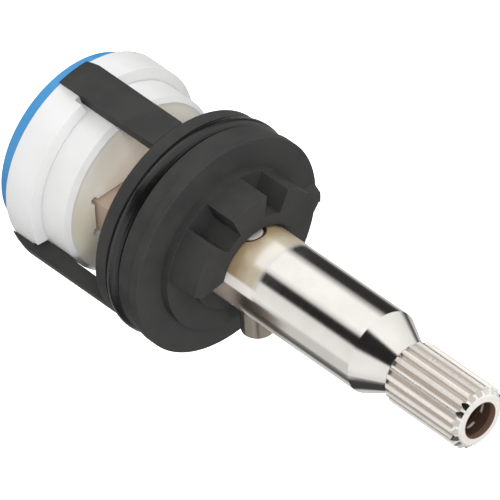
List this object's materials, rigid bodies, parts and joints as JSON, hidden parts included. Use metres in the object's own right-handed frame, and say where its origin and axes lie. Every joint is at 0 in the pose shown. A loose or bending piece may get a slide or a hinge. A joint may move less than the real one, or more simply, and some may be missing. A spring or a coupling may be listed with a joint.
{
  "type": "diverter cartridge",
  "caption": "Ceramic-disc diverter cartridge: plastic housing with snap legs, stator and rotor discs, outlet seal, and a plated spindle with a toothed end that turns both ways from off.",
  "frame": {"origin": "on the spindle's axis, in the plane of the outlet seal's rear face", "axes": "+Z along the spindle towards the handle, -Y towards the leg in line with the crown's middle block, +X to its right"},
  "size_m": [0.0303, 0.0302, 0.073],
  "materials": {
    "blue_rubber": "smooth moulded rubber",
    "ceramic": "fine ground white ceramic",
    "housing_plastic": "matt dark grey moulded plastic",
    "black_rubber": "smooth black rubber, greased",
    "nickel": "bright nickel plate on turned brass",
    "washer_plastic": "smooth natural low-friction plastic",
    "pin_steel": "drawn steel"
  },
  "bodies": {
    "body": {"housing": "housing_plastic", "stator_disc": "ceramic", "outlet_seal": "blue_rubber", "collar_o_ring": "black_rubber"},
    "turning_group": {"spindle": "nickel", "rotor_disc": "ceramic", "slip_washer": "washer_plastic", "rear_spindle_o_ring": "black_rubber", "front_spindle_o_ring": "black_rubber", "stop_pin": "pin_steel"}
  },
  "joints": [
    {"name": "spindle_turn", "type": "hinge", "parent": "body", "child": "turning_group", "pos_m": [0, 0, 0.04], "axis": [0, 0, 1], "range_deg": [-85, 95]}
  ]
}
